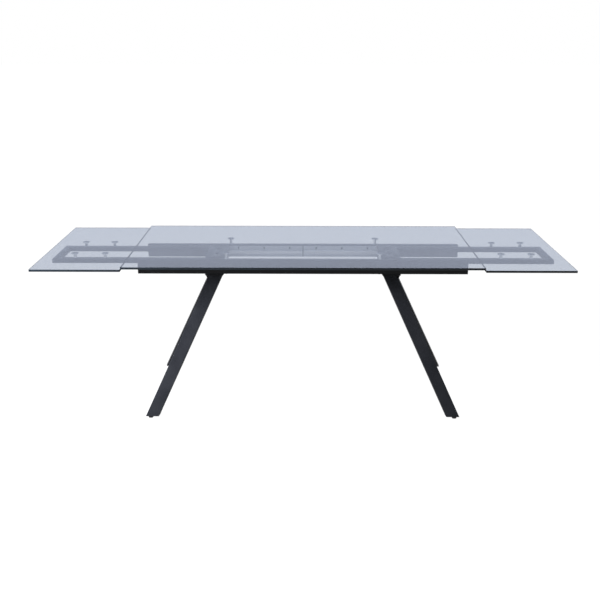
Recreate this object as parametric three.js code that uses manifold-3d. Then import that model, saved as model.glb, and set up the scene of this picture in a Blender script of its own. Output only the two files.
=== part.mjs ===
// Extendable glass dining table: a fixed glass top on two steel beams and four splayed legs,
// with a glass leaf at each end that sinks a little and slides in under the fixed top.
// Millimetres. X runs along the table, -Y is its front, +Z is up, the floor is Z = 0.
// The leaves are drawn pulled out and lowered.

import * as THREE from 'three';
import { mergeVertices } from 'three/addons/utils/BufferGeometryUtils.js';
import Module from 'manifold-3d';

const wasm = await Module();
wasm.setup();

// ---------- driving dimensions ----------

const TABLE_LENGTH = 2400;
const TABLE_DEPTH = 900;
const TABLE_HEIGHT = 750;
const LEAF_TRAVEL = 400;

const GLASS = 10;
const GLASS_ARRIS = 0.8;
const GLASS_CORNER_RADIUS = 4;
const SPLIT_GAP = 1.6;
const LEAF_UNDER_TOP = 1;

const CONTACT_GAP = 0.3;
const RUNNING_GAP = 0.5;

const BEAM_LENGTH = 1540;
const BEAM_WIDTH = 30;
const BEAM_HEIGHT = 60;
const BEAM_WALL = 2;
const BEAM_Y = 159;
const BEAM_TOP = 710;
const BEAM_CAP = 3;
const BEAM_CAP_SPIGOT = 14;

const RAIL_WIDTH = 40;
const RAIL_HEIGHT = 20;
const RAIL_WALL = 1.5;
const RAIL_Y = 120;
const RAIL_TOP = 704;
const RAIL_INNER_END = 422;
const RAIL_END_PLATE = 2;
const CROSSBAR_WIDTH = 30;
const CROSSBAR_OUTER_END = 1176;
const DRAIN_RADIUS = 4;
const TIE_WIDTH = 30;
const TIE_HEIGHT = 16;

const TRACK_SHEET = 2;
const TRACK_FLANGE = 14;
const TRACK_TOP = 705;
const TRACK_BOTTOM = 653;
const TRACK_SHELF_TOP = 682;
const TRACK_INNER_END = 2.5;
const TRACK_OUTER_END = 765;
const RUNNER_WIDTH = 13;

const LEG_WIDTH = 56;
const LEG_THICKNESS = 30;
const LEG_WALL = 2;
const LEG_TOP_X = 405;
const LEG_FOOT_X = 700;
const LEG_FOOT_Y = 342;
const LEG_FOOT_PLATE = 4;

const YOKE_INNER_END = 372;
const YOKE_OUTER_END = 457;
const YOKE_THICKNESS = 6;
const WEB_DEPTH = 20;
const WEB_THICKNESS = 6;
const WEB_TIP_X = 446;

const CROSS_PLATE_INNER_END = 364;
const CROSS_PLATE_OUTER_END = 459;
const CROSS_PLATE_THICKNESS = 4;
const CROSS_PLATE_HOLE_RADIUS = 9;

const FOOT_HEIGHT = 10;
const FOOT_X = 710;
const FOOT_RADIUS = 11;
const FOOT_SHOULDER = 3;
const FOOT_NECK_RADIUS = 8;
const FOOT_STUD_RADIUS = 4;
const FOOT_STUD_TOP = 32;

const HEAD_RADIUS = 17;
const HEAD_HEIGHT = 4;
const STEM_RADIUS = 6;
const COLLAR_RADIUS = 10;
const COLLAR_HEIGHT = 3;
const POST_RADIUS = 5;
const SOCKET_RADIUS = 7;
const SOCKET_HEIGHT = 15;
const MAIN_STANDOFF_X = 358;
const LEAF_STANDOFF_XS = [930, 1071];

const ROUND_SIDES = 24;
const SMALL_CHAMFER = 1;
const SIDES = { left: -1, right: 1 };
const ROWS = { front: -1, rear: 1 };

// ---------- sizes worked out from them ----------

const MAIN_HALF = TABLE_LENGTH / 2 - LEAF_TRAVEL;
const MAIN_BOTTOM = TABLE_HEIGHT - GLASS;
const LEAF_TOP = MAIN_BOTTOM - LEAF_UNDER_TOP;
const LEAF_BOTTOM = LEAF_TOP - GLASS;
const BEAM_BOTTOM = BEAM_TOP - BEAM_HEIGHT;
const BEAM_INNER_FACE = BEAM_Y - BEAM_WIDTH / 2;
const BEAM_OUTER_FACE = BEAM_Y + BEAM_WIDTH / 2;
const RAIL_BOTTOM = RAIL_TOP - RAIL_HEIGHT;
const RAIL_INNER_FACE = RAIL_Y - RAIL_WIDTH / 2;
const RAIL_OUTER_FACE = RAIL_Y + RAIL_WIDTH / 2;
const CROSSBAR_INNER_END = CROSSBAR_OUTER_END - CROSSBAR_WIDTH;
const TRACK_BACK = BEAM_INNER_FACE - CONTACT_GAP;
const TRACK_WEB = TRACK_BACK - TRACK_SHEET;
const TRACK_LIP = TRACK_WEB - TRACK_FLANGE;
const RUNNER_OUTER_END = TRACK_OUTER_END - TRACK_SHEET - CONTACT_GAP;
const YOKE_TOP = BEAM_BOTTOM - CONTACT_GAP;
const YOKE_BOTTOM = YOKE_TOP - YOKE_THICKNESS;
const LEG_TOP = YOKE_BOTTOM - CONTACT_GAP;

// ---------- shape helpers ----------

// A closed mesh as a manifold solid, for cutting and joining.
function toSolid(geometry) {
  const bare = geometry.clone();
  bare.deleteAttribute('normal');
  bare.deleteAttribute('uv');
  const merged = mergeVertices(bare, 1e-4);
  const mesh = new wasm.Mesh({
    numProp: 3,
    vertProperties: new Float32Array(merged.attributes.position.array),
    triVerts: new Uint32Array(merged.index.array),
  });
  return new wasm.Manifold(mesh);
}

function toGeometry(solid) {
  const mesh = solid.getMesh();
  const indexed = new THREE.BufferGeometry();
  indexed.setAttribute('position', new THREE.BufferAttribute(new Float32Array(mesh.vertProperties), 3));
  indexed.setIndex(new THREE.BufferAttribute(new Uint32Array(mesh.triVerts), 1));
  const geometry = indexed.toNonIndexed();
  geometry.computeVertexNormals();
  return geometry;
}

function join(...geometries) {
  return toGeometry(geometries.map(toSolid).reduce((sum, solid) => sum.add(solid)));
}

function cut(geometry, ...tools) {
  return toGeometry(tools.map(toSolid).reduce((rest, tool) => rest.subtract(tool), toSolid(geometry)));
}

function overlap(first, second) {
  return toGeometry(toSolid(first).intersect(toSolid(second)));
}

function box(xs, ys, zs) {
  const [x0, x1] = [Math.min(...xs), Math.max(...xs)];
  const [y0, y1] = [Math.min(...ys), Math.max(...ys)];
  const [z0, z1] = [Math.min(...zs), Math.max(...zs)];
  const geometry = new THREE.BoxGeometry(x1 - x0, y1 - y0, z1 - z0);
  return geometry.translate((x0 + x1) / 2, (y0 + y1) / 2, (z0 + z1) / 2);
}

// An upright cylinder.
function rod(radius, x, y, z0, z1) {
  const geometry = new THREE.CylinderGeometry(radius, radius, z1 - z0, ROUND_SIDES);
  return geometry.rotateX(Math.PI / 2).translate(x, y, (z0 + z1) / 2);
}

// A round body on a vertical axis, from [radius, height] points that start and end on the axis.
function turned(profile, x, y) {
  const points = profile.map(([radius, height]) => new THREE.Vector2(radius, height));
  return new THREE.LatheGeometry(points, ROUND_SIDES).rotateX(Math.PI / 2).translate(x, y, 0);
}

function roundedRectangle(width, height, radius) {
  const [a, b] = [width / 2 - radius, height / 2 - radius];
  const shape = new THREE.Shape();
  shape.absarc(a, b, radius, 0, Math.PI / 2);
  shape.absarc(-a, b, radius, Math.PI / 2, Math.PI);
  shape.absarc(-a, -b, radius, Math.PI, 1.5 * Math.PI);
  shape.absarc(a, -b, radius, 1.5 * Math.PI, 2 * Math.PI);
  shape.closePath();
  return shape;
}

// The full outline of a tube's section. Its corner radius is one and a half times the wall.
function tubeOutline(width, height, wall) {
  return roundedRectangle(width, height, 1.5 * wall);
}

function tubeSection(width, height, wall) {
  const shape = tubeOutline(width, height, wall);
  shape.holes.push(roundedRectangle(width - 2 * wall, height - 2 * wall, 0.5 * wall));
  return shape;
}

function extrude(shape, depth) {
  return new THREE.ExtrudeGeometry(shape, { depth, bevelEnabled: false, curveSegments: 4 });
}

// Turns a section drawn in (y, z) and extruded along its own z so that it runs along X.
const ALONG_X = new THREE.Matrix4().makeBasis(
  new THREE.Vector3(0, 1, 0),
  new THREE.Vector3(0, 0, 1),
  new THREE.Vector3(1, 0, 0),
);

// Turns a section drawn in (z, x) so that it runs along Y.
const ALONG_Y = new THREE.Matrix4().makeBasis(
  new THREE.Vector3(0, 0, 1),
  new THREE.Vector3(1, 0, 0),
  new THREE.Vector3(0, 1, 0),
);

function alongX(shape, xs) {
  const start = Math.min(...xs);
  const length = Math.max(...xs) - start;
  return extrude(shape, length).applyMatrix4(ALONG_X).translate(start, 0, 0);
}

function alongY(shape, ys) {
  const start = Math.min(...ys);
  const length = Math.max(...ys) - start;
  return extrude(shape, length).applyMatrix4(ALONG_Y).translate(0, start, 0);
}

function outline(points) {
  return new THREE.Shape(points.map(([a, b]) => new THREE.Vector2(a, b)));
}

// ---------- finishes ----------

const FINISHES = {
  smokedGlass: { color: 0xa9b2c6, roughness: 0.04, metalness: 0, transparent: true, opacity: 0.4 },
  blackPowderCoat: { color: 0x17181a, roughness: 0.5, metalness: 0.1 },
  zincSteel: { color: 0x9a9c9e, roughness: 0.38, metalness: 0.9 },
  chrome: { color: 0xd9dbdd, roughness: 0.08, metalness: 1 },
  blackPlastic: { color: 0x121214, roughness: 0.6, metalness: 0 },
  nylon: { color: 0x2a2a2c, roughness: 0.55, metalness: 0 },
};

const table = new THREE.Group();
table.name = 'extendable_dining_table';

function addPart(name, geometry, finish) {
  const mesh = new THREE.Mesh(geometry, new THREE.MeshStandardMaterial(FINISHES[finish]));
  mesh.name = name;
  table.add(mesh);
}

// ---------- glass ----------

function glassPlate(xs, bottom) {
  const [x0, x1] = [Math.min(...xs), Math.max(...xs)];
  const shape = roundedRectangle(x1 - x0, TABLE_DEPTH, GLASS_CORNER_RADIUS);
  const geometry = new THREE.ExtrudeGeometry(shape, {
    depth: GLASS - 2 * GLASS_ARRIS,
    bevelEnabled: true,
    bevelThickness: GLASS_ARRIS,
    bevelSize: GLASS_ARRIS,
    bevelOffset: -GLASS_ARRIS,
    bevelSegments: 1,
    curveSegments: 6,
  });
  return geometry.translate((x0 + x1) / 2, 0, bottom + GLASS_ARRIS);
}

function addMainGlass() {
  const end = MAIN_HALF - SPLIT_GAP / 2;
  addPart('main_glass', glassPlate([-end, end], MAIN_BOTTOM), 'smokedGlass');
}

function addLeafGlass(side, sign) {
  const ends = [sign * (MAIN_HALF + SPLIT_GAP / 2), sign * (TABLE_LENGTH / 2)];
  addPart(`${side}_leaf_glass`, glassPlate(ends, LEAF_BOTTOM), 'smokedGlass');
}

// ---------- fixed frame ----------

function addBeam(row, sign) {
  const half = BEAM_LENGTH / 2 - BEAM_CAP - CONTACT_GAP;
  const tube = alongX(tubeSection(BEAM_WIDTH, BEAM_HEIGHT, BEAM_WALL), [-half, half]);
  tube.translate(0, sign * BEAM_Y, BEAM_TOP - BEAM_HEIGHT / 2);
  addPart(`${row}_beam`, tube, 'blackPowderCoat');
}

// A push-in plastic cap: a plate over the beam's end and a hollow spigot inside it.
function addBeamCap(side, sideSign, row, rowSign) {
  const end = sideSign * (BEAM_LENGTH / 2);
  const plateInside = end - sideSign * BEAM_CAP;
  const plate = alongX(tubeOutline(BEAM_WIDTH, BEAM_HEIGHT, BEAM_WALL), [plateInside, end]);
  const bore = 2 * (BEAM_WALL + RUNNING_GAP);
  const spigotSection = tubeSection(BEAM_WIDTH - bore, BEAM_HEIGHT - bore, BEAM_WALL);
  const spigotRoot = end - sideSign * BEAM_CAP / 2;
  const spigot = alongX(spigotSection, [spigotRoot, plateInside - sideSign * BEAM_CAP_SPIGOT]);
  const cap = join(plate, spigot).translate(0, rowSign * BEAM_Y, BEAM_TOP - BEAM_HEIGHT / 2);
  addPart(`beam_cap_${row}_${side}`, cap, 'blackPlastic');
}

// A steel track on the beam's inner face: a web with a bottom flange and a shelf above it, which
// hold the runner between them, and a stop across the channel near each end of the travel.
function addSlideTrack(side, sideSign, row, rowSign) {
  const section = outline([
    [rowSign * TRACK_BACK, TRACK_BOTTOM],
    [rowSign * TRACK_LIP, TRACK_BOTTOM],
    [rowSign * TRACK_LIP, TRACK_BOTTOM + TRACK_SHEET],
    [rowSign * TRACK_WEB, TRACK_BOTTOM + TRACK_SHEET],
    [rowSign * TRACK_WEB, TRACK_SHELF_TOP - TRACK_SHEET],
    [rowSign * TRACK_LIP, TRACK_SHELF_TOP - TRACK_SHEET],
    [rowSign * TRACK_LIP, TRACK_SHELF_TOP],
    [rowSign * TRACK_WEB, TRACK_SHELF_TOP],
    [rowSign * TRACK_WEB, TRACK_TOP],
    [rowSign * TRACK_BACK, TRACK_TOP],
  ]);
  const channel = alongX(section, [sideSign * TRACK_INNER_END, sideSign * TRACK_OUTER_END]);
  const closedRunnerEnd = RAIL_INNER_END - LEAF_TRAVEL - CONTACT_GAP;
  const stops = [TRACK_OUTER_END, closedRunnerEnd].map((end) => box(
    [sideSign * end, sideSign * (end - TRACK_SHEET)],
    [rowSign * (TRACK_LIP + RUNNING_GAP), rowSign * (TRACK_WEB + TRACK_SHEET / 2)],
    [TRACK_BOTTOM + TRACK_SHEET / 2, TRACK_SHELF_TOP - TRACK_SHEET / 2],
  ));
  addPart(`slide_track_${row}_${side}`, join(channel, ...stops), 'zincSteel');
}

// A flat plate over the rails, welded between the beams' inner faces. It keeps the rails' inner
// ends down when a leaf is loaded.
function addCrossPlate(side, sideSign) {
  const xs = [sideSign * CROSS_PLATE_INNER_END, sideSign * CROSS_PLATE_OUTER_END];
  const reach = BEAM_INNER_FACE - CONTACT_GAP;
  const top = BEAM_TOP - RUNNING_GAP;
  const zs = [top - CROSS_PLATE_THICKNESS, top];
  const middle = (xs[0] + xs[1]) / 2;
  const holes = [-1, 1].map((sign) => rod(
    CROSS_PLATE_HOLE_RADIUS,
    middle,
    sign * reach / 3,
    zs[0] - CROSS_PLATE_THICKNESS,
    zs[1] + CROSS_PLATE_THICKNESS,
  ));
  addPart(`${side}_cross_plate`, cut(box(xs, [-reach, reach], zs), ...holes), 'blackPowderCoat');
}

// ---------- legs ----------

// The plate under both beams that carries two legs, with a small web outside each leg.
function addLegYoke(side, sideSign) {
  const xs = [sideSign * YOKE_INNER_END, sideSign * YOKE_OUTER_END];
  const plate = box(xs, [-BEAM_OUTER_FACE, BEAM_OUTER_FACE], [YOKE_BOTTOM, YOKE_TOP]);
  const webs = Object.values(ROWS).map((rowSign) => legWeb(sideSign, rowSign));
  addPart(`${side}_leg_yoke`, join(plate, ...webs), 'blackPowderCoat');
}

// A web from the yoke's outer end down to the leg's outer face, cut to fit the leg.
function legWeb(sideSign, rowSign) {
  const section = outline([
    [YOKE_BOTTOM + YOKE_THICKNESS / 2, sideSign * LEG_TOP_X],
    [YOKE_BOTTOM + YOKE_THICKNESS / 2, sideSign * (YOKE_OUTER_END - SMALL_CHAMFER)],
    [YOKE_BOTTOM, sideSign * (YOKE_OUTER_END - SMALL_CHAMFER)],
    [YOKE_BOTTOM - WEB_DEPTH, sideSign * WEB_TIP_X],
    [YOKE_BOTTOM - WEB_DEPTH, sideSign * LEG_TOP_X],
  ]);
  const y = rowSign * (BEAM_Y + WEB_THICKNESS / 2);
  const web = alongY(section, [y - WEB_THICKNESS / 2, y + WEB_THICKNESS / 2]);
  const outside = tubeOutline(LEG_WIDTH + 2 * CONTACT_GAP, LEG_THICKNESS, LEG_WALL);
  const leg = legPrism(outside, legFrame(sideSign, rowSign));
  return cut(web, overlap(leg, levelSlab(0, YOKE_BOTTOM)));
}

// Unit vector up a leg, from its foot to its top.
function legDirection(sideSign, rowSign) {
  const top = new THREE.Vector3(sideSign * LEG_TOP_X, rowSign * BEAM_Y, LEG_TOP);
  const foot = new THREE.Vector3(sideSign * LEG_FOOT_X, rowSign * LEG_FOOT_Y, FOOT_HEIGHT);
  return top.sub(foot).normalize();
}

// The turn that lays a section's x along the leg's wide face and its extrusion along the leg.
function legFrame(sideSign, rowSign) {
  const up = legDirection(sideSign, rowSign);
  const wide = new THREE.Vector3(1, 0, 0).addScaledVector(up, -up.x).normalize();
  const thick = new THREE.Vector3().crossVectors(up, wide);
  const frame = new THREE.Matrix4().makeBasis(wide, thick, up);
  return frame.setPosition(sideSign * LEG_FOOT_X, rowSign * LEG_FOOT_Y, FOOT_HEIGHT);
}

function legPrism(shape, frame) {
  const spare = 2 * LEG_WIDTH;
  const length = LEG_TOP + 2 * spare;
  return extrude(shape, length).translate(0, 0, -spare).applyMatrix4(frame);
}

function levelSlab(z0, z1) {
  return box([-TABLE_LENGTH, TABLE_LENGTH], [-TABLE_LENGTH, TABLE_LENGTH], [z0, z1]);
}

// A rectangular tube cut level at both ends, with a plate in its foot for the levelling stud.
function addLeg(side, sideSign, row, rowSign) {
  const frame = legFrame(sideSign, rowSign);
  const tube = legPrism(tubeSection(LEG_WIDTH, LEG_THICKNESS, LEG_WALL), frame);
  const core = legPrism(tubeOutline(LEG_WIDTH, LEG_THICKNESS, LEG_WALL), frame);
  const walls = overlap(tube, levelSlab(FOOT_HEIGHT, LEG_TOP));
  const footPlate = overlap(core, levelSlab(FOOT_HEIGHT, FOOT_HEIGHT + LEG_FOOT_PLATE));
  const studHole = rod(
    FOOT_STUD_RADIUS + RUNNING_GAP,
    sideSign * FOOT_X,
    rowSign * LEG_FOOT_Y,
    FOOT_HEIGHT - LEG_FOOT_PLATE,
    FOOT_HEIGHT + 2 * LEG_FOOT_PLATE,
  );
  addPart(`leg_${row}_${side}`, cut(join(walls, footPlate), studHole), 'blackPowderCoat');
}

// A levelling glide: a plastic pad with a moulded-in threaded stud.
function addFoot(side, sideSign, row, rowSign) {
  const top = FOOT_HEIGHT - CONTACT_GAP;
  const pad = turned([
    [0, 0],
    [FOOT_RADIUS - SMALL_CHAMFER, 0],
    [FOOT_RADIUS, SMALL_CHAMFER],
    [FOOT_RADIUS, top - FOOT_SHOULDER],
    [FOOT_NECK_RADIUS, top],
    [FOOT_STUD_RADIUS, top],
    [FOOT_STUD_RADIUS, FOOT_STUD_TOP - SMALL_CHAMFER],
    [FOOT_STUD_RADIUS - SMALL_CHAMFER, FOOT_STUD_TOP],
    [0, FOOT_STUD_TOP],
  ], sideSign * FOOT_X, rowSign * LEG_FOOT_Y);
  addPart(`foot_${row}_${side}`, pad, 'blackPlastic');
}

// ---------- stand-offs ----------

// The outline of a disc head from its underside to its top face.
function headOutline(stemRadius, top) {
  const bottom = top - HEAD_HEIGHT;
  return [
    [stemRadius, bottom],
    [HEAD_RADIUS - SMALL_CHAMFER, bottom],
    [HEAD_RADIUS, bottom + SMALL_CHAMFER],
    [HEAD_RADIUS, top - SMALL_CHAMFER],
    [HEAD_RADIUS - SMALL_CHAMFER, top],
    [0, top],
  ];
}

// A one-piece stand-off between a beam and the fixed glass.
function addMainStandoff(side, sideSign, row, rowSign) {
  const base = BEAM_TOP + CONTACT_GAP;
  const shape = turned([
    [0, base],
    [COLLAR_RADIUS, base],
    [COLLAR_RADIUS, base + COLLAR_HEIGHT - SMALL_CHAMFER],
    [COLLAR_RADIUS - SMALL_CHAMFER, base + COLLAR_HEIGHT],
    [STEM_RADIUS, base + COLLAR_HEIGHT],
    ...headOutline(STEM_RADIUS, MAIN_BOTTOM - CONTACT_GAP),
  ], sideSign * MAIN_STANDOFF_X, rowSign * BEAM_Y);
  addPart(`main_standoff_${row}_${side}`, shape, 'chrome');
}

// The socket on a rail that guides a leaf post.
function socket(x, y) {
  const base = RAIL_TOP + CONTACT_GAP;
  const bore = POST_RADIUS + RUNNING_GAP;
  const top = base + SOCKET_HEIGHT;
  return turned([
    [bore, base],
    [COLLAR_RADIUS, base],
    [COLLAR_RADIUS, base + COLLAR_HEIGHT - SMALL_CHAMFER],
    [COLLAR_RADIUS - SMALL_CHAMFER, base + COLLAR_HEIGHT],
    [SOCKET_RADIUS, base + COLLAR_HEIGHT],
    [SOCKET_RADIUS, top - SMALL_CHAMFER],
    [SOCKET_RADIUS - SMALL_CHAMFER, top],
    [bore, top],
    [bore, base],
  ], x, y);
}

// The post that carries a leaf. It stands on the rail's bottom wall and rises in its socket.
function post(x, y) {
  const foot = RAIL_BOTTOM + RAIL_WALL + CONTACT_GAP;
  return turned([
    [0, foot],
    [POST_RADIUS - SMALL_CHAMFER, foot],
    [POST_RADIUS, foot + SMALL_CHAMFER],
    ...headOutline(POST_RADIUS, LEAF_BOTTOM - CONTACT_GAP),
  ], x, y);
}

function addLeafStandoffs(side, sideSign) {
  for (const [row, rowSign] of Object.entries(ROWS)) {
    LEAF_STANDOFF_XS.forEach((x, index) => {
      const place = `${side}_${row}_${index === 0 ? 'inner' : 'outer'}`;
      addPart(`socket_${place}`, socket(sideSign * x, rowSign * RAIL_Y), 'chrome');
      addPart(`post_${place}`, post(sideSign * x, rowSign * RAIL_Y), 'chrome');
    });
  }
}

// ---------- sliding extension frames ----------

// A flat tube with a closed inner end and a hole in its top wall for each leaf post.
function addRail(side, sideSign, row, rowSign) {
  const inner = sideSign * RAIL_INNER_END;
  const outer = sideSign * (CROSSBAR_INNER_END - CONTACT_GAP);
  const z = RAIL_TOP - RAIL_HEIGHT / 2;
  const place = (geometry) => geometry.translate(0, rowSign * RAIL_Y, z);
  const tube = place(alongX(tubeSection(RAIL_WIDTH, RAIL_HEIGHT, RAIL_WALL), [inner, outer]));
  const endPlate = tubeOutline(RAIL_WIDTH, RAIL_HEIGHT, RAIL_WALL);
  const end = place(alongX(endPlate, [inner, inner + sideSign * RAIL_END_PLATE]));
  const holes = LEAF_STANDOFF_XS.map((x) => rod(
    POST_RADIUS + RUNNING_GAP,
    sideSign * x,
    rowSign * RAIL_Y,
    z,
    RAIL_TOP + RAIL_WALL,
  ));
  addPart(`${side}_${row}_rail`, cut(join(tube, end), ...holes), 'blackPowderCoat');
}

// The tube across the rails' outer ends, with closed ends and two drain holes underneath.
function addCrossbar(side, sideSign) {
  const x = sideSign * (CROSSBAR_OUTER_END - CROSSBAR_WIDTH / 2);
  const z = RAIL_TOP - RAIL_HEIGHT / 2;
  const place = (geometry) => geometry.translate(x, 0, z);
  const reach = RAIL_OUTER_FACE;
  const tube = place(alongY(tubeSection(RAIL_HEIGHT, CROSSBAR_WIDTH, RAIL_WALL), [-reach, reach]));
  const plate = tubeOutline(RAIL_HEIGHT, CROSSBAR_WIDTH, RAIL_WALL);
  const ends = [-1, 1].map((sign) => place(alongY(plate, [sign * reach, sign * (reach - RAIL_WALL)])));
  const drains = [-1, 1].map((sign) => (
    rod(DRAIN_RADIUS, x, sign * RAIL_Y, RAIL_BOTTOM - RAIL_WALL, z)
  ));
  addPart(`${side}_crossbar`, cut(join(tube, ...ends), ...drains), 'blackPowderCoat');
}

// The flat tube that ties the rails together near their inner ends.
function addTieBar(side, sideSign) {
  const reach = RAIL_INNER_FACE - CONTACT_GAP;
  const tube = alongY(tubeSection(TIE_HEIGHT, TIE_WIDTH, RAIL_WALL), [-reach, reach]);
  tube.translate(sideSign * (RAIL_INNER_END + TIE_WIDTH / 2), 0, RAIL_TOP - RAIL_HEIGHT / 2);
  addPart(`${side}_tie_bar`, tube, 'blackPowderCoat');
}

// A nylon runner under each rail, with a tongue that rides in the track's channel.
function addRunner(side, sideSign, row, rowSign) {
  const channelBottom = TRACK_BOTTOM + TRACK_SHEET + RUNNING_GAP;
  const channelTop = TRACK_SHELF_TOP - TRACK_SHEET - RUNNING_GAP;
  const neck = TRACK_LIP - RUNNING_GAP;
  const section = outline([
    [rowSign * (TRACK_WEB - RUNNING_GAP), channelBottom],
    [rowSign * (neck - RUNNER_WIDTH), channelBottom],
    [rowSign * (neck - RUNNER_WIDTH), RAIL_BOTTOM - CONTACT_GAP],
    [rowSign * neck, RAIL_BOTTOM - CONTACT_GAP],
    [rowSign * neck, channelTop],
    [rowSign * (TRACK_WEB - RUNNING_GAP), channelTop],
  ]);
  const strip = alongX(section, [sideSign * RAIL_INNER_END, sideSign * RUNNER_OUTER_END]);
  addPart(`runner_${row}_${side}`, strip, 'nylon');
}

// ---------- the table ----------

addMainGlass();

for (const [row, rowSign] of Object.entries(ROWS)) {
  addBeam(row, rowSign);
}

for (const [side, sideSign] of Object.entries(SIDES)) {
  addCrossPlate(side, sideSign);
  addLegYoke(side, sideSign);
  addLeafGlass(side, sideSign);
  addCrossbar(side, sideSign);
  addTieBar(side, sideSign);
  addLeafStandoffs(side, sideSign);
  for (const [row, rowSign] of Object.entries(ROWS)) {
    addBeamCap(side, sideSign, row, rowSign);
    addSlideTrack(side, sideSign, row, rowSign);
    addLeg(side, sideSign, row, rowSign);
    addFoot(side, sideSign, row, rowSign);
    addMainStandoff(side, sideSign, row, rowSign);
    addRail(side, sideSign, row, rowSign);
    addRunner(side, sideSign, row, rowSign);
  }
}

export default table;
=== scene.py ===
import math

import bmesh
import bpy
from mathutils import Matrix, Vector, geometry


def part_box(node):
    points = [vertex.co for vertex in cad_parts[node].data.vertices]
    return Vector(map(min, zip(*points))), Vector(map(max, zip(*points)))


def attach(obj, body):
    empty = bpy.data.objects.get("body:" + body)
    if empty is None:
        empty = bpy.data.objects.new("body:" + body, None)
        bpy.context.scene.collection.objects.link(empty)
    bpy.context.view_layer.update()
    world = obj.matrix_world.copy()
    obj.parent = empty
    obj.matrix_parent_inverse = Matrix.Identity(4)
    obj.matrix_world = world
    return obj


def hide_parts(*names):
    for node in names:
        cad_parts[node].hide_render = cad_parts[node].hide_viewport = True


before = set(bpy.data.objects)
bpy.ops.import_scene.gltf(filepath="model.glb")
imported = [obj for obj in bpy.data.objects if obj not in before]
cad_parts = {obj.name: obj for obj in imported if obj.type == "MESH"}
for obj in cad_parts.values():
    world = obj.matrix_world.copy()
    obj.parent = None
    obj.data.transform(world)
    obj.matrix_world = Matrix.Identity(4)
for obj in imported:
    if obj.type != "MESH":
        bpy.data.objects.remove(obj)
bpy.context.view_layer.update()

# The looks of an extendable glass dining table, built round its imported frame. Metres, +Z up.

MM = 0.001

SIDES = {"left": -1, "right": 1}
ROWS = {"front": -1, "rear": 1}
PLACES = ("inner", "outer")

ROUND = 72
SMALL_ROUND = 36
EASE = 0.25 * MM
PLASTIC_EASE = 0.8 * MM
SAME_POINT = 0.0001 * MM
SAME_HEIGHT = 0.01 * MM


# ---------- mesh building ----------

def new_object(name, bm, material, smooth_angle=35.0):
    """A finished piece from a bmesh: smooth where faces meet gently, sharp elsewhere."""
    bmesh.ops.remove_doubles(bm, verts=bm.verts, dist=SAME_POINT)
    bmesh.ops.recalc_face_normals(bm, faces=bm.faces)
    mesh = bpy.data.meshes.new(name)
    bm.to_mesh(mesh)
    bm.free()
    mesh.shade_smooth()
    mesh.set_sharp_from_angle(angle=math.radians(smooth_angle))
    obj = bpy.data.objects.new(name, mesh)
    bpy.context.scene.collection.objects.link(obj)
    mesh.materials.append(material)
    return obj


def ring(bm, radius_at, height, centre, sides):
    """One level ring of vertices; radius_at gives the radius for an angle."""
    made = []
    for i in range(sides):
        angle = 2 * math.pi * i / sides
        r = radius_at(angle)
        made.append(bm.verts.new((centre.x + r * math.cos(angle), centre.y + r * math.sin(angle), height)))
    return made


def bridge(bm, first, second):
    count = len(first)
    for i in range(count):
        j = (i + 1) % count
        bm.faces.new((first[i], first[j], second[j], second[i]))


def fan(bm, loop, point):
    tip = bm.verts.new(point)
    count = len(loop)
    for i in range(count):
        bm.faces.new((loop[i], loop[(i + 1) % count], tip))


def circle(radius):
    return lambda angle: radius


def hexagon(across_flats):
    """Radius of a hexagon's outline at an angle."""
    def radius(angle):
        return across_flats / 2 / math.cos((angle % (math.pi / 3)) - math.pi / 6)
    return radius


def rounded(points, radius, steps=4):
    """A (radius, height) outline with its corners rounded, except its two end points. A corner takes
    less than half of each line beside it, so that two never meet."""
    result = [points[0]]
    for before, corner, after in zip(points, points[1:], points[2:]):
        a, b, c = Vector(before), Vector(corner), Vector(after)
        reach = min(radius, 0.45 * (a - b).length, 0.45 * (c - b).length)
        start = b + (a - b).normalized() * reach
        end = b + (c - b).normalized() * reach
        for i in range(steps + 1):
            t = i / steps
            point = start.lerp(b, t).lerp(b.lerp(end, t), t)
            result.append((point.x, point.y))
    result.append(points[-1])
    return result


def turned(name, outline, centre, material, sides=ROUND):
    """A body turned about a vertical axis. An outline that starts or ends on the axis is closed there,
    and one that starts and ends at the same point makes a ring-shaped body."""
    bm = bmesh.new()
    closed = outline[0] == outline[-1]
    points = outline[:-1] if closed else outline
    inner = [p for p in points if p[0] > 0]
    rings = [ring(bm, circle(r), z, centre, sides) for r, z in inner]
    for first, second in zip(rings, rings[1:]):
        bridge(bm, first, second)
    if closed:
        bridge(bm, rings[-1], rings[0])
    else:
        fan(bm, rings[0], (centre.x, centre.y, points[0][1]))
        fan(bm, rings[-1], (centre.x, centre.y, points[-1][1]))
    return new_object(name, bm, material)


def socket_head(name, radius, height, key, centre, down, material):
    """A button head with a hexagonal recess. It stands on a level face at centre, pointing down or up."""
    sign = -1 if down else 1
    bm = bmesh.new()
    sides = SMALL_ROUND
    levels = [
        (circle(radius), 0.0),
        (circle(radius), 0.25 * height),
        (circle(0.93 * radius), 0.55 * height),
        (circle(0.80 * radius), 0.82 * height),
        (circle(0.62 * radius), 0.97 * height),
        (circle(0.585 * key + 0.06 * radius), height),
        (hexagon(key), 0.95 * height),
        (hexagon(key), 0.40 * height),
        (circle(0.2 * key), 0.30 * height),
    ]
    rings = [ring(bm, r, centre.z + sign * z, centre, sides) for r, z in levels]
    for first, second in zip(rings, rings[1:]):
        bridge(bm, first, second)
    fan(bm, rings[-1], (centre.x, centre.y, centre.z + sign * 0.28 * height))
    bmesh.ops.contextual_create(bm, geom=rings[0])
    return new_object(name, bm, material)


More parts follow.
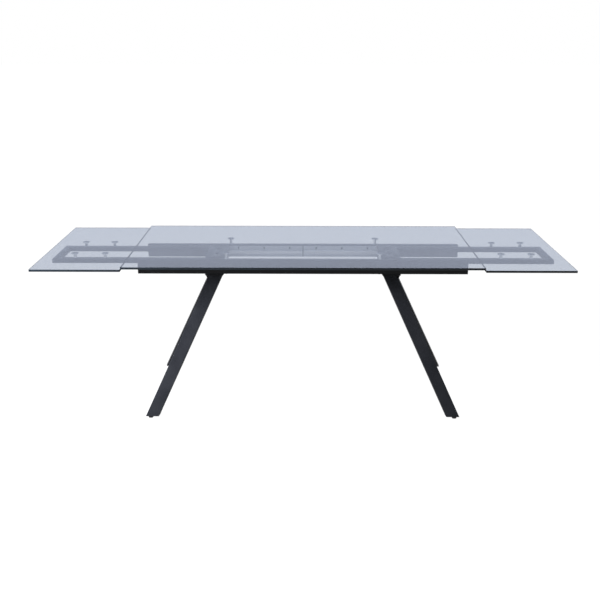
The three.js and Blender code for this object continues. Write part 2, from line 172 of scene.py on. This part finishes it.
def sweep(name, path, radius_at, material, closed=False, sides=10):
    """A round bar along a path; radius_at gives its radius for a distance along it."""
    bm = bmesh.new()
    count = len(path)
    rings = []
    travelled = 0.0
    for i, point in enumerate(path):
        before = path[i - 1] if closed or i > 0 else path[i]
        after = path[(i + 1) % count] if closed or i < count - 1 else path[i]
        along = (after - before).normalized()
        steep = abs(along.z) > 0.95
        across = (along.orthogonal() if steep else Vector((0, 0, 1)).cross(along)).normalized()
        upward = along.cross(across)
        r = radius_at(travelled)
        loop = []
        for k in range(sides):
            angle = 2 * math.pi * k / sides
            loop.append(bm.verts.new(point + r * (across * math.cos(angle) + upward * math.sin(angle))))
        rings.append(loop)
        if i < count - 1:
            travelled += (path[i + 1] - point).length
    for first, second in zip(rings, rings[1:]):
        bridge(bm, first, second)
    if closed:
        bridge(bm, rings[-1], rings[0])
    else:
        fan(bm, rings[0], path[0])
        fan(bm, rings[-1], path[-1])
    return new_object(name, bm, material, smooth_angle=60)


def dense(points, step, closed=False):
    """The same line with a point at least every step."""
    ends = points[1:] + points[:1] if closed else points[1:]
    starts = points if closed else points[:-1]
    result = []
    for a, b in zip(starts, ends):
        parts = max(1, math.ceil((b - a).length / step))
        result += [a.lerp(b, i / parts) for i in range(parts)]
    return result if closed else result + [points[-1]]


# In radii of the bead.
RIPPLE_LENGTH = 0.55
RIPPLE_HEIGHT = 0.16
WELD_STEP = 0.28


def weld_bead(name, points, radius, body, closed=False):
    """A weld bead with the ripples of one pass."""
    def ripple(distance):
        wave = math.sin(math.pi * distance / (RIPPLE_LENGTH * radius))
        return radius * (1 + RIPPLE_HEIGHT * wave ** 2)
    line = dense(points, WELD_STEP * radius, closed)
    bead = sweep(name, line, ripple, POWDER_WELD, closed, sides=8)
    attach(bead, body)


# ---------- materials ----------

class Nodes:
    """A short way to write a material's node tree."""

    def __init__(self, name):
        self.material = bpy.data.materials.new(name)
        self.material.use_nodes = True
        self.tree = self.material.node_tree
        self.shader = self.tree.nodes["Principled BSDF"]
        self.output = self.tree.nodes["Material Output"]
        self.place = self.add("ShaderNodeTexCoord").outputs["Object"]

    def add(self, kind, **values):
        node = self.tree.nodes.new(kind)
        for key, value in values.items():
            setattr(node, key, value)
        return node

    def link(self, source, target):
        self.tree.links.new(source, target)

    def noise(self, scale, detail=2.0, rough=0.5, stretch=(1, 1, 1)):
        mapping = self.add("ShaderNodeMapping")
        mapping.inputs["Scale"].default_value = stretch
        self.link(self.place, mapping.inputs["Vector"])
        node = self.add("ShaderNodeTexNoise")
        node.inputs["Scale"].default_value = scale
        node.inputs["Detail"].default_value = detail
        node.inputs["Roughness"].default_value = rough
        self.link(mapping.outputs["Vector"], node.inputs["Vector"])
        return node.outputs["Fac"]

    def cells(self, scale):
        node = self.add("ShaderNodeTexVoronoi")
        node.inputs["Scale"].default_value = scale
        self.link(self.place, node.inputs["Vector"])
        return node

    def remap(self, value, low, high, start=0.3, stop=0.7):
        node = self.add("ShaderNodeMapRange")
        node.inputs["From Min"].default_value = start
        node.inputs["From Max"].default_value = stop
        node.inputs["To Min"].default_value = low
        node.inputs["To Max"].default_value = high
        self.link(value, node.inputs["Value"])
        return node.outputs["Result"]

    def blend(self, factor, first, second):
        node = self.add("ShaderNodeMix", data_type="RGBA")
        colours = [s for s in node.inputs if s.type == "RGBA"]
        colours[0].default_value = (*first, 1)
        colours[1].default_value = (*second, 1)
        self.link(factor, node.inputs["Factor"])
        return next(s for s in node.outputs if s.type == "RGBA")

    def bump(self, height, distance, strength=1.0, below=None):
        node = self.add("ShaderNodeBump")
        node.inputs["Distance"].default_value = distance
        node.inputs["Strength"].default_value = strength
        self.link(height, node.inputs["Height"])
        if below is not None:
            self.link(below, node.inputs["Normal"])
        return node.outputs["Normal"]

    def set(self, **values):
        for key, value in values.items():
            socket = self.shader.inputs[key.replace("_", " ")]
            if isinstance(value, bpy.types.NodeSocket):
                self.link(value, socket)
            else:
                socket.default_value = value
        return self.material


def powder_coat(name, dark, light, low_rough, high_rough, grain):
    """Fine-textured black powder coat: a soft orange peel with small grains."""
    n = Nodes(name)
    tone = n.noise(9.0, 4.0, 0.6)
    peel = n.noise(420.0, 2.0, 0.5)
    grains = n.cells(1500.0).outputs["Distance"]
    normal = n.bump(grains, 0.04 * MM * grain, 0.6, n.bump(peel, 0.12 * MM * grain, 0.5))
    return n.set(
        Base_Color=n.blend(n.remap(tone, 0, 1), dark, light),
        Roughness=n.remap(peel, low_rough, high_rough),
        Specular_IOR_Level=0.16,
        Normal=normal,
    )


def smoked_glass():
    """Bluish grey float glass with polished faces, a faint wave and traces of wiping."""
    n = Nodes("smoked_glass")
    absorb = n.add("ShaderNodeVolumeAbsorption")
    absorb.inputs["Color"].default_value = (0.315, 0.370, 0.420, 1)
    absorb.inputs["Density"].default_value = 69.0
    n.link(absorb.outputs["Volume"], n.output.inputs["Volume"])
    smears = n.noise(7.0, 5.0, 0.65, (1, 3, 1))
    wave = n.noise(3.0, 1.0, 0.4)
    return n.set(
        Base_Color=(1, 1, 1, 1),
        Roughness=n.remap(smears, 0.0, 0.035, 0.45, 0.75),
        IOR=1.52,
        Transmission_Weight=1.0,
        Normal=n.bump(wave, 0.05 * MM, 0.3),
    )


def ground_edge():
    """The ground and polished edge of dark glass: fine lines along it, almost black."""
    n = Nodes("ground_glass_edge")
    lines = n.noise(90.0, 4.0, 0.6, (0.2, 0.2, 30))
    cloud = n.noise(60.0, 4.0, 0.6)
    return n.set(
        Base_Color=n.blend(n.remap(cloud, 0, 1), (0.0010, 0.0016, 0.0024), (0.0022, 0.0032, 0.0044)),
        Roughness=n.remap(lines, 0.16, 0.30),
        IOR=1.52,
        Specular_IOR_Level=0.25,
        Normal=n.bump(lines, 0.03 * MM, 0.5),
    )


def polished_chrome():
    n = Nodes("polished_chrome")
    haze = n.noise(120.0, 4.0, 0.6)
    rings = n.noise(60.0, 2.0, 0.5, (1, 1, 60))
    return n.set(
        Base_Color=n.blend(n.remap(haze, 0, 1), (0.84, 0.85, 0.87), (0.92, 0.93, 0.94)),
        Metallic=1.0,
        Roughness=n.remap(haze, 0.06, 0.14),
        Normal=n.bump(rings, 0.02 * MM, 0.3),
    )


def zinc_plate():
    """Rolled, zinc-plated sheet: faint spangle and long rolling streaks."""
    n = Nodes("zinc_plate")
    spangle = n.cells(160.0)
    streaks = n.noise(40.0, 4.0, 0.6, (0.05, 1, 1))
    tone = n.remap(spangle.outputs["Color"], 0, 1, 0.2, 0.8)
    return n.set(
        Base_Color=n.blend(tone, (0.76, 0.77, 0.79), (0.86, 0.87, 0.89)),
        Metallic=1.0,
        Roughness=n.remap(streaks, 0.34, 0.50),
        Normal=n.bump(streaks, 0.05 * MM, 0.4),
    )


def plastic(name, dark, light, low_rough, high_rough):
    """Moulded plastic with a fine spark-eroded grain."""
    n = Nodes(name)
    grain = n.noise(900.0, 3.0, 0.6)
    tone = n.noise(30.0, 2.0, 0.5)
    return n.set(
        Base_Color=n.blend(n.remap(tone, 0, 1), dark, light),
        Roughness=n.remap(grain, low_rough, high_rough),
        Normal=n.bump(grain, 0.03 * MM, 0.6),
    )


def black_oxide():
    n = Nodes("black_oxide_steel")
    wear = n.noise(500.0, 4.0, 0.65)
    return n.set(
        Base_Color=n.blend(n.remap(wear, 0, 1, 0.45, 0.8), (0.030, 0.031, 0.034), (0.10, 0.10, 0.105)),
        Metallic=0.85,
        Roughness=n.remap(wear, 0.30, 0.48),
        Normal=n.bump(wear, 0.02 * MM, 0.5),
    )


def clear_bond():
    """The thin layer of clear adhesive between a disc head and the glass."""
    n = Nodes("clear_bond")
    cloud = n.noise(200.0, 3.0, 0.6)
    return n.set(
        Base_Color=(0.92, 0.94, 0.96, 1),
        Roughness=n.remap(cloud, 0.05, 0.25),
        IOR=1.48,
        Transmission_Weight=0.9,
        Normal=n.bump(cloud, 0.02 * MM, 0.4),
    )


DARK_COAT = (0.0030, 0.0032, 0.0040)
POWDER = powder_coat("black_powder_coat", DARK_COAT, (0.0052, 0.0055, 0.0066), 0.25, 0.35, 1.0)
POWDER_WELD = powder_coat("powder_coat_on_welds", DARK_COAT, (0.0050, 0.0053, 0.0063), 0.30, 0.42, 0.6)
GLASS = smoked_glass()
GLASS_EDGE = ground_edge()
CHROME = polished_chrome()
ZINC = zinc_plate()
NYLON = plastic("black_nylon", (0.012, 0.012, 0.013), (0.022, 0.022, 0.023), 0.38, 0.52)
PLASTIC = plastic("black_cap_plastic", (0.008, 0.008, 0.009), (0.014, 0.014, 0.015), 0.45, 0.62)
FOOT_PLASTIC = plastic("black_foot_plastic", (0.009, 0.009, 0.010), (0.016, 0.016, 0.017), 0.40, 0.58)
BOLT_STEEL = black_oxide()
BOND = clear_bond()


# ---------- finish of the carried-over frame parts ----------

SHARP_ANGLE = math.radians(34)
LEVEL_ENOUGH = 0.9
WELD_DISTANCE = 0.01 * MM


def geometry_group(name):
    """An empty geometry node group, with its input and output nodes."""
    group = bpy.data.node_groups.new(name, "GeometryNodeTree")
    for way in ("INPUT", "OUTPUT"):
        group.interface.new_socket("Geometry", in_out=way, socket_type="NodeSocketGeometry")
    return group, group.nodes.new("NodeGroupInput"), group.nodes.new("NodeGroupOutput")


def smooth_group():
    """A geometry node group that drops stored normals and shades smooth up to a set angle."""
    group, start, end = geometry_group("smooth_by_angle")
    plain = group.nodes.new("GeometryNodeRemoveAttribute")
    plain.inputs["Name"].default_value = "custom_normal"
    angle = group.nodes.new("GeometryNodeInputMeshEdgeAngle")
    sharp = group.nodes.new("FunctionNodeCompare")
    sharp.data_type = "FLOAT"
    sharp.operation = "GREATER_THAN"
    sharp.inputs["B"].default_value = SHARP_ANGLE
    edges = group.nodes.new("GeometryNodeSetShadeSmooth")
    edges.domain = "EDGE"
    edges.inputs["Shade Smooth"].default_value = False
    faces = group.nodes.new("GeometryNodeSetShadeSmooth")
    faces.domain = "FACE"
    faces.inputs["Shade Smooth"].default_value = True
    links = group.links
    links.new(start.outputs["Geometry"], plain.inputs["Geometry"])
    links.new(plain.outputs["Geometry"], edges.inputs["Geometry"])
    links.new(angle.outputs["Unsigned Angle"], sharp.inputs["A"])
    links.new(sharp.outputs["Result"], edges.inputs["Selection"])
    links.new(edges.outputs["Geometry"], faces.inputs["Geometry"])
    links.new(faces.outputs["Geometry"], end.inputs["Geometry"])
    return group


SMOOTH = smooth_group()


def edge_group():
    """A geometry node group that gives the glass its edge material wherever a face isn't level."""
    group, start, end = geometry_group("ground_edges")
    split = group.nodes.new("ShaderNodeSeparateXYZ")
    height = group.nodes.new("ShaderNodeMath")
    height.operation = "ABSOLUTE"
    steep = group.nodes.new("FunctionNodeCompare")
    steep.data_type = "FLOAT"
    steep.operation = "LESS_THAN"
    steep.inputs["B"].default_value = LEVEL_ENOUGH
    paint = group.nodes.new("GeometryNodeSetMaterial")
    paint.inputs["Material"].default_value = GLASS_EDGE
    links = group.links
    links.new(group.nodes.new("GeometryNodeInputNormal").outputs["Normal"], split.inputs["Vector"])
    links.new(split.outputs["Z"], height.inputs[0])
    links.new(height.outputs["Value"], steep.inputs["A"])
    links.new(steep.outputs["Result"], paint.inputs["Selection"])
    links.new(start.outputs["Geometry"], paint.inputs["Geometry"])
    links.new(paint.outputs["Geometry"], end.inputs["Geometry"])
    return group


EDGES = edge_group()


def finish_glass(name):
    """Polished faces and ground edges. Faces stay flat and corners sharp, as cut glass is."""
    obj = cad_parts[name]
    obj.data.materials.clear()
    obj.data.materials.append(GLASS)
    edges = obj.modifiers.new("ground_edges", "NODES")
    edges.node_group = EDGES


def finish_node(name, material, ease=EASE):
    """Gives a carried-over part its material, slightly eased edges and smooth round corners."""
    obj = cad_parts[name]
    obj.data.materials.clear()
    obj.data.materials.append(material)
    weld = obj.modifiers.new("weld", "WELD")
    weld.merge_threshold = WELD_DISTANCE
    bevel = obj.modifiers.new("ease", "BEVEL")
    bevel.limit_method = "ANGLE"
    bevel.angle_limit = SHARP_ANGLE
    bevel.width = ease
    bevel.segments = 2
    smooth = obj.modifiers.new("smooth", "NODES")
    smooth.node_group = SMOOTH


def finish_frame():
    finish_glass("main_glass")
    for row in ROWS:
        finish_node(f"{row}_beam", POWDER)
    for side in SIDES:
        finish_glass(f"{side}_leaf_glass")
        finish_node(f"{side}_cross_plate", POWDER)
        finish_node(f"{side}_leg_yoke", POWDER)
        finish_node(f"{side}_crossbar", POWDER)
        finish_node(f"{side}_tie_bar", POWDER)
        for row in ROWS:
            finish_node(f"beam_cap_{row}_{side}", PLASTIC, PLASTIC_EASE)
            finish_node(f"slide_track_{row}_{side}", ZINC)
            finish_node(f"leg_{row}_{side}", POWDER)
            finish_node(f"{side}_{row}_rail", POWDER)
            finish_node(f"runner_{row}_{side}", NYLON, PLASTIC_EASE)


# ---------- chrome stand-offs ----------

HEAD_HEIGHT = 4 * MM
COLLAR_HEIGHT = 3 * MM
COLLAR_RADIUS = 10 * MM
STEM_RADIUS = 6 * MM
POST_RADIUS = 5 * MM
SOCKET_RADIUS = 7 * MM
SOCKET_PLAY = 0.4 * MM
GROOVE_DEPTH = 0.6 * MM
GROOVE_TOP = 2.2 * MM
GROOVE_BOTTOM = 3.0 * MM
HEAD_COVE = 2.0 * MM
HEAD_EASE = 1.2 * MM
FILLET = 0.6 * MM
FILLET_RISE = 1.5 * MM
CHROME_ROUNDING = 0.7 * MM
SOCKET_ROUNDING = 0.4 * MM
BOND_RADIUS = 15 * MM
BOND_SQUEEZE = 0.8 * MM
BOND_THICKNESS = 0.22 * MM
BOND_ROUNDING = 0.05 * MM


def head_points(stem, head, top):
    """Outline of a disc head from the stem, with a small cove under it, to the middle of its top."""
    bottom = top - HEAD_HEIGHT
    return [
        (stem, bottom - HEAD_COVE),
        (stem + FILLET, bottom - FILLET),
        (stem + HEAD_COVE, bottom),
        (head - HEAD_EASE, bottom),
        (head, bottom + HEAD_EASE),
        (head, top),
        (0.0, top),
    ]


def centre_of(node):
    """A node's lowest and highest corners, and the middle of its footprint."""
    low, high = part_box(node)
    return low, high, Vector(((low.x + high.x) / 2, (low.y + high.y) / 2, 0))


def bond_pad(name, centre, top, body):
    """A thin disc of clear adhesive on a stand-off's head."""
    glued = top + BOND_THICKNESS
    points = [(0.0, top), (BOND_RADIUS, top), (BOND_RADIUS + BOND_SQUEEZE, glued), (0.0, glued)]
    outline = rounded(points, BOND_ROUNDING)
    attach(turned(name, outline, centre, BOND), body)


def main_standoff(side, row):
    """A one-piece stand-off between a beam and the fixed glass."""
    node = f"main_standoff_{row}_{side}"
    low, high, centre = centre_of(node)
    outline = [
        (0.0, low.z),
        (COLLAR_RADIUS, low.z),
        (COLLAR_RADIUS, low.z + COLLAR_HEIGHT),
        (STEM_RADIUS + FILLET, low.z + COLLAR_HEIGHT),
        (STEM_RADIUS, low.z + COLLAR_HEIGHT + FILLET_RISE),
    ]
    outline += head_points(STEM_RADIUS, (high.x - low.x) / 2, high.z)
    piece = turned(f"standoff_{row}_{side}", rounded(outline, CHROME_ROUNDING), centre, CHROME)
    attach(piece, "frame")
    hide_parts(node)
    bond_pad(f"bond_{row}_{side}", centre, high.z, "frame")


def leaf_post(side, row, place):
    """The post that carries a leaf."""
    node = f"post_{side}_{row}_{place}"
    low, high, centre = centre_of(node)
    outline = [(0.0, low.z), (POST_RADIUS, low.z)]
    outline += head_points(POST_RADIUS, (high.x - low.x) / 2, high.z)
    piece = turned(f"leaf_post_{side}_{row}_{place}", rounded(outline, CHROME_ROUNDING), centre, CHROME)
    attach(piece, f"{side}_leaf")
    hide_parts(node)
    bond_pad(f"bond_{side}_{row}_{place}", centre, high.z, f"{side}_leaf")


def leaf_socket(side, row, place):
    """The grooved collar on a rail that a leaf post slides in."""
    node = f"socket_{side}_{row}_{place}"
    low, high, centre = centre_of(node)
    bore = POST_RADIUS + SOCKET_PLAY
    outline = [
        (bore, low.z),
        (COLLAR_RADIUS, low.z),
        (COLLAR_RADIUS, low.z + COLLAR_HEIGHT),
        (SOCKET_RADIUS, low.z + COLLAR_HEIGHT),
        (SOCKET_RADIUS, high.z - GROOVE_BOTTOM),
        (SOCKET_RADIUS - GROOVE_DEPTH, high.z - GROOVE_BOTTOM),
        (SOCKET_RADIUS - GROOVE_DEPTH, high.z - GROOVE_TOP),
        (SOCKET_RADIUS, high.z - GROOVE_TOP),
        (SOCKET_RADIUS, high.z),
        (bore, high.z),
    ]
    outline = rounded(outline + [outline[0]], SOCKET_ROUNDING)
    piece = turned(f"leaf_socket_{side}_{row}_{place}", outline, centre, CHROME)
    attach(piece, f"{side}_extension")
    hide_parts(node)


# ---------- feet ----------

FOOT_NECK = 8 * MM
FOOT_GAP = 0.3 * MM
STUD_RADIUS = 4 * MM
THREAD_PITCH = 1.25 * MM
THREAD_DEPTH = 0.5 * MM
STUD_POINT = 1.2 * MM
LEG_BOTTOM = 10 * MM
SOLE_RIM = 3 * MM
SOLE_RECESS = 0.3 * MM
SOLE_BEVEL = 0.4 * MM
PAD_SHOULDER = 3 * MM
PAD_ROUNDING = 0.5 * MM
PAD_GROOVE = 0.5 * MM
PAD_GROOVE_BOTTOM = 3.6 * MM
PAD_GROOVE_TOP = 4.6 * MM
PAD_GROOVE_SLOPE = 0.3 * MM


def thread_points(radius, start, stop):
    """A stud's outline with one ridge for each turn of its thread."""
    turns = int((stop - start) / THREAD_PITCH)
    points = []
    for i in range(turns):
        z = start + i * THREAD_PITCH
        points.append((radius - THREAD_DEPTH, z))
        points.append((radius, z + 0.5 * THREAD_PITCH))
    return points


def levelling_foot(side, row):
    """A round pad with a recessed sole and a groove round it, on a threaded stud."""
    node = f"foot_{row}_{side}"
    low, high, centre = centre_of(node)
    radius = (high.x - low.x) / 2
    neck_top = LEG_BOTTOM - FOOT_GAP
    pad = rounded([
        (0.0, low.z + SOLE_RECESS),
        (radius - SOLE_RIM, low.z + SOLE_RECESS),
        (radius - SOLE_RIM + SOLE_BEVEL, low.z),
        (radius, low.z),
        (radius, low.z + PAD_GROOVE_BOTTOM),
        (radius - PAD_GROOVE, low.z + PAD_GROOVE_BOTTOM + PAD_GROOVE_SLOPE),
        (radius - PAD_GROOVE, low.z + PAD_GROOVE_TOP - PAD_GROOVE_SLOPE),
        (radius, low.z + PAD_GROOVE_TOP),
        (radius, neck_top - PAD_SHOULDER),
        (FOOT_NECK, neck_top),
        (0.0, neck_top),
    ], PAD_ROUNDING)
    piece = turned(f"foot_pad_{row}_{side}", pad, centre, FOOT_PLASTIC)
    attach(piece, f"{row}_{side}_foot")
    stud = [(0.0, neck_top - MM), (STUD_RADIUS - THREAD_DEPTH, neck_top - MM)]
    stud += thread_points(STUD_RADIUS, neck_top, high.z - STUD_POINT)
    stud += [(STUD_RADIUS - MM, high.z), (0.0, high.z)]
    screw = turned(f"foot_stud_{row}_{side}", stud, centre, ZINC, SMALL_ROUND)
    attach(screw, f"{row}_{side}_foot")
    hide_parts(node)


# ---------- bolts, screws and welds ----------

YOKE_PLATE = 6 * MM
YOKE_BOLT_X = 449 * MM
YOKE_BOLT_OFFSET = 9.5 * MM
YOKE_BOLT_RADIUS = 4.9 * MM
STANDOFF_BOLT_RADIUS = 5.5 * MM
BOLT_HEAD_TO_RADIUS = 0.62
BOLT_KEY_TO_RADIUS = 0.8
TRACK_SHEET = 2 * MM
TRACK_SCREWS = 6
TRACK_SCREW_RISE = 11.5 * MM
TRACK_SCREW_RADIUS = 5.0 * MM
TRACK_SCREW_HEAD = 0.5 * MM
TRACK_SCREW_KEY = 3.6 * MM
LEG_WELD = 2.0 * MM
LEG_WELD_DROP = 0.7 * MM
PLATE_WELD = 1.4 * MM
PLATE_WELD_IN = 0.6 * MM
PLATE_WELD_UP = 0.1 * MM
PLATE_WELD_END = 4 * MM
TIE_WELD = 1.2 * MM
TIE_WELD_IN = 0.2 * MM
TIE_CORNER = 1.0 * MM
CROSSBAR_WELD = 1.5 * MM
RAIL_CORNER = 2 * MM
RAIL_OUTER_CORNER = 3 * MM


def yoke_bolts(side, sign):
    """Button-head bolts that hold a leg yoke to both beams."""
    plate_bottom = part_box(f"{side}_leg_yoke")[1].z - YOKE_PLATE
    for row in ROWS:
        low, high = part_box(f"{row}_beam")
        middle = (low.y + high.y) / 2
        for i, offset in enumerate((-YOKE_BOLT_OFFSET, YOKE_BOLT_OFFSET)):
            centre = Vector((sign * YOKE_BOLT_X, middle + offset, plate_bottom))
            button_bolt(f"yoke_bolt_{side}_{row}_{i}", YOKE_BOLT_RADIUS, centre)


def button_bolt(name, radius, centre):
    """A button-head bolt seen from below."""
    head, key = BOLT_HEAD_TO_RADIUS * radius, BOLT_KEY_TO_RADIUS * radius
    bolt = socket_head(name, radius, head, key, centre, True, BOLT_STEEL)
    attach(bolt, "frame")


def standoff_bolt(side, row):
    """The bolt that holds a stand-off, with its head under the beam."""
    centre = centre_of(f"main_standoff_{row}_{side}")[2]
    centre.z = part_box(f"{row}_beam")[0].z
    button_bolt(f"standoff_bolt_{row}_{side}", STANDOFF_BOLT_RADIUS, centre)


def leg_outline(node):
    """The outline of a leg's top end, from the highest points of its mesh."""
    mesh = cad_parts[node].data
    top = max(v.co.z for v in mesh.vertices)
    rim = [v.co.to_2d() for v in mesh.vertices if v.co.z > top - SAME_HEIGHT]
    hull = geometry.convex_hull_2d(rim)
    return [Vector((rim[i].x, rim[i].y, top)) for i in hull]


def leg_weld(side, row):
    """The bead round a leg where it meets its yoke."""
    outline = leg_outline(f"leg_{row}_{side}")
    line = [point - Vector((0, 0, LEG_WELD_DROP)) for point in outline]
    weld_bead(f"leg_weld_{row}_{side}", line, LEG_WELD, "frame", closed=True)


def cross_plate_welds(side):
    """A bead along each end of a cross plate, where it meets a beam."""
    low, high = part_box(f"{side}_cross_plate")
    for row, sign in ROWS.items():
        y = sign * (high.y - PLATE_WELD_IN)
        z = high.z + PLATE_WELD_UP
        ends = [Vector((low.x + PLATE_WELD_END, y, z)), Vector((high.x - PLATE_WELD_END, y, z))]
        weld_bead(f"cross_plate_weld_{side}_{row}", ends, PLATE_WELD, "frame")


def tie_bar_welds(side):
    """A bead all round each end of a tie bar, where it meets a rail."""
    low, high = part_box(f"{side}_tie_bar")
    for row, sign in ROWS.items():
        y = sign * (high.y - TIE_WELD_IN)
        corners = [
            Vector((low.x + TIE_CORNER, y, low.z)),
            Vector((low.x, y, low.z + TIE_CORNER)),
            Vector((low.x, y, high.z - TIE_CORNER)),
            Vector((low.x + TIE_CORNER, y, high.z)),
            Vector((high.x - TIE_CORNER, y, high.z)),
            Vector((high.x, y, high.z - TIE_CORNER)),
            Vector((high.x, y, low.z + TIE_CORNER)),
            Vector((high.x - TIE_CORNER, y, low.z)),
        ]
        weld_bead(f"tie_weld_{side}_{row}", corners, TIE_WELD, f"{side}_extension", closed=True)


def crossbar_welds(side, sign):
    """Fillets where the rails meet the crossbar: down the inner side and along the bottom."""
    for row, row_sign in ROWS.items():
        low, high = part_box(f"{side}_{row}_rail")
        x = high.x if sign > 0 else low.x
        inner = min(abs(low.y), abs(high.y)) * row_sign
        outer = max(abs(low.y), abs(high.y)) * row_sign
        corners = [
            Vector((x, inner, high.z - RAIL_CORNER)),
            Vector((x, inner, low.z + RAIL_CORNER)),
            Vector((x, inner + row_sign * RAIL_CORNER, low.z)),
            Vector((x, outer - row_sign * RAIL_OUTER_CORNER, low.z)),
        ]
        weld_bead(f"crossbar_weld_{side}_{row}", corners, CROSSBAR_WELD, f"{side}_extension")


def track_screws(side, sign, row, row_sign):
    """Low-headed screws on a track's web, above its shelf."""
    low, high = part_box(f"slide_track_{row}_{side}")
    face = row_sign * (max(abs(low.y), abs(high.y)) - TRACK_SHEET)
    start, stop = sorted((abs(low.x), abs(high.x)))
    size = (TRACK_SCREW_RADIUS, TRACK_SCREW_HEAD, TRACK_SCREW_KEY)
    turn = Matrix.Rotation(row_sign * math.pi / 2, 4, "X")
    for i in range(TRACK_SCREWS):
        x = sign * (start + (i + 0.5) * (stop - start) / TRACK_SCREWS)
        name = f"track_screw_{row}_{side}_{i}"
        head = socket_head(name, *size, Vector((0, 0, 0)), False, BOLT_STEEL)
        head.data.transform(Matrix.Translation((x, face, high.z - TRACK_SCREW_RISE)) @ turn)
        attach(head, "frame")


# ---------- stage, camera and light ----------

CAMERA_SIDE = 0.0017
CAMERA_DISTANCE = 4.479
CAMERA_HEIGHT = 1.768
CAMERA_PITCH = 16.115
CAMERA_TURN = 0.2
CAMERA_ROLL = 0.09
CAMERA_LENS = 57.15


def add_camera():
    """The photo's camera, before the table and looking down on it. Angles are in degrees."""
    data = bpy.data.cameras.new("camera")
    data.lens = CAMERA_LENS
    data.sensor_width = 36
    camera = bpy.data.objects.new("camera", data)
    bpy.context.scene.collection.objects.link(camera)
    turn = Matrix.Rotation(math.radians(CAMERA_TURN), 4, "Z")
    tilt = Matrix.Rotation(math.radians(90 - CAMERA_PITCH), 4, "X")
    roll = Matrix.Rotation(math.radians(CAMERA_ROLL), 4, "Z")
    place = Matrix.Translation((CAMERA_SIDE, -CAMERA_DISTANCE, CAMERA_HEIGHT))
    camera.matrix_world = place @ turn @ tilt @ roll
    bpy.context.scene.camera = camera


FLOOR_SEEN = 1.0
FLOOR_MIRRORED = 0.60


def add_floor():
    """A floor that glows: white for the camera, dimmer in the table's reflections. Its own colour is
    almost black, so that the lamps hardly add to it."""
    bm = bmesh.new()
    bmesh.ops.create_grid(bm, x_segments=8, y_segments=8, size=40)
    n = Nodes("pale_floor")
    speck = n.noise(3.0, 3.0, 0.5)
    ray = n.add("ShaderNodeLightPath").outputs
    n.set(
        Base_Color=n.blend(n.remap(speck, 0, 1), (0.020, 0.020, 0.020), (0.024, 0.024, 0.024)),
        Roughness=0.9,
        Specular_IOR_Level=0.0,
        Emission_Color=(1, 1, 1, 1),
        Emission_Strength=n.remap(ray["Is Reflection Ray"], FLOOR_SEEN, FLOOR_MIRRORED, 0.0, 1.0),
    )
    new_object("floor", bm, n.material)


BACKDROP = (0.74, 0.81, 1.00)
FRONT = (0.42, 0.44, 0.48)
CEILING = (0.85, 0.87, 0.92)
FRONT_FADE = (-0.55, 0.15)
CEILING_FADE = (0.55, 0.85)


def add_world():
    """White where it is seen directly. What the table mirrors is a cool backdrop, dimmer in front."""
    world = bpy.data.worlds.new("studio")
    bpy.context.scene.world = world
    world.use_nodes = True
    tree = world.node_tree
    tree.nodes.clear()
    nodes, links = tree.nodes, tree.links
    output = nodes.new("ShaderNodeOutputWorld")
    background = nodes.new("ShaderNodeBackground")
    links.new(background.outputs["Background"], output.inputs["Surface"])
    split = nodes.new("ShaderNodeSeparateXYZ")
    links.new(nodes.new("ShaderNodeTexCoord").outputs["Generated"], split.inputs["Vector"])

    def step(value, start, stop):
        node = nodes.new("ShaderNodeMapRange")
        node.interpolation_type = "SMOOTHSTEP"
        node.inputs["From Min"].default_value = start
        node.inputs["From Max"].default_value = stop
        links.new(value, node.inputs["Value"])
        return node.outputs["Result"]

    def mix(factor, first, second):
        node = nodes.new("ShaderNodeMix")
        node.data_type = "RGBA"
        sockets = [s for s in node.inputs if s.type == "RGBA"]
        for socket, value in zip(sockets, (first, second)):
            if isinstance(value, bpy.types.NodeSocket):
                links.new(value, socket)
            else:
                socket.default_value = (*value, 1)
        links.new(factor, node.inputs["Factor"])
        return next(s for s in node.outputs if s.type == "RGBA")

    around = mix(step(split.outputs["Y"], *FRONT_FADE), FRONT, BACKDROP)
    mirrored = mix(step(split.outputs["Z"], *CEILING_FADE), around, CEILING)
    seen = mix(nodes.new("ShaderNodeLightPath").outputs["Is Camera Ray"], mirrored, (1.0, 1.0, 1.0))
    links.new(seen, background.inputs["Color"])


LAMP_COLOUR = (0.97, 0.98, 1.0)
OVERHEAD_PLACE = (-1.0, -0.6, 3.4)
OVERHEAD_TARGET = (0, 0, 0.6)
OVERHEAD_SIZE = (3.2, 2.2)
OVERHEAD_POWER = 40
KEY_PLACE = (-1.85, -1.45, 1.45)
KEY_TARGET = (-0.6, -0.25, 0.35)
KEY_SIZE = (0.8, 0.8)
KEY_POWER = 640


def add_softbox(name, place, target, size, power):
    data = bpy.data.lights.new(name, "AREA")
    data.shape = "RECTANGLE"
    data.size, data.size_y = size
    data.energy = power
    data.color = LAMP_COLOUR
    light = bpy.data.objects.new(name, data)
    bpy.context.scene.collection.objects.link(light)
    light.location = place
    light.rotation_euler = (Vector(target) - light.location).to_track_quat("-Z", "Y").to_euler()
    return light


def add_lights():
    """A large softbox overhead, and a key before the left end that shows in no reflection."""
    add_softbox("overhead", OVERHEAD_PLACE, OVERHEAD_TARGET, OVERHEAD_SIZE, OVERHEAD_POWER)
    key = add_softbox("key", KEY_PLACE, KEY_TARGET, KEY_SIZE, KEY_POWER)
    key.visible_glossy = False
    key.visible_transmission = False


# ---------- the table ----------

add_camera()
add_world()
add_lights()
add_floor()
finish_frame()

for side, sign in SIDES.items():
    yoke_bolts(side, sign)
    cross_plate_welds(side)
    tie_bar_welds(side)
    crossbar_welds(side, sign)
    for row, row_sign in ROWS.items():
        main_standoff(side, row)
        standoff_bolt(side, row)
        levelling_foot(side, row)
        leg_weld(side, row)
        track_screws(side, sign, row, row_sign)
        for place in PLACES:
            leaf_socket(side, row, place)
            leaf_post(side, row, place)

bpy.context.scene.view_settings.view_transform = "Standard"
